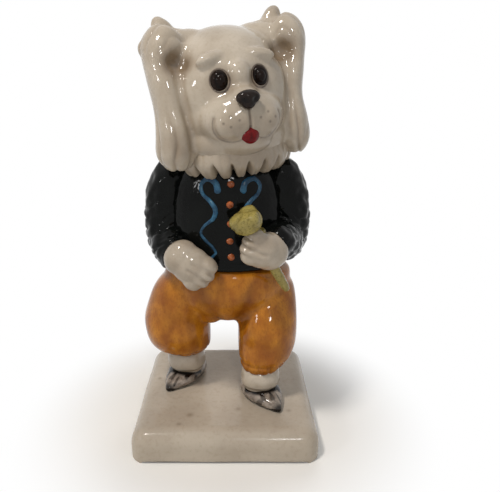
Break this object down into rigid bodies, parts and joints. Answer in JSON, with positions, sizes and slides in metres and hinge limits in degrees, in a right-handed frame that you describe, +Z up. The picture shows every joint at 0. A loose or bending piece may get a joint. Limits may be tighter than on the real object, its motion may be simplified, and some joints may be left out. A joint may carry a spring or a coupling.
{
  "type": "dog figurine",
  "caption": "Standing shaggy dog in jacket and breeches holding a flower bud, glazed earthenware, on a square hollow plinth.",
  "frame": {"origin": "centre of the plinth's foot, on the surface it stands on", "axes": "+Z up, the dog faces -Y, +X towards the dog's own left"},
  "size_m": [0.049, 0.049, 0.1127],
  "materials": {
    "plinth_glaze": "clear gloss glaze over off-white earthenware",
    "white_glaze": "clear gloss glaze over white earthenware",
    "shoe_glaze": "grey underglaze brushed with black, clear gloss glaze",
    "amber_glaze": "mottled amber underglaze, clear gloss glaze",
    "jacket_glaze": "black gloss glaze",
    "bud_glaze": "speckled olive glaze",
    "button_glaze": "orange-brown enamel, gloss",
    "braid_slip": "trailed blue slip under gloss glaze",
    "eye_glaze": "dark brown enamel, gloss",
    "nose_glaze": "dark enamel, gloss",
    "tongue_glaze": "red enamel, gloss"
  },
  "bodies": {
    "root": {"plinth": "plinth_glaze", "right_shoe": "shoe_glaze", "left_shoe": "shoe_glaze", "right_sock": "white_glaze", "left_sock": "white_glaze", "right_breeches_leg": "amber_glaze", "left_breeches_leg": "amber_glaze", "breeches_seat": "amber_glaze", "jacket_body": "jacket_glaze", "right_sleeve": "jacket_glaze", "left_sleeve": "jacket_glaze", "right_paw": "white_glaze", "left_paw": "white_glaze", "flower_stalk": "bud_glaze", "flower_bud": "bud_glaze", "buttons": "button_glaze", "right_braid": "braid_slip", "left_braid": "braid_slip", "head": "white_glaze", "ruff": "white_glaze", "right_ear": "white_glaze", "left_ear": "white_glaze", "right_eye": "eye_glaze", "left_eye": "eye_glaze", "nose": "nose_glaze", "tongue": "tongue_glaze", "tail": "white_glaze"}
  },
  "joints": []
}
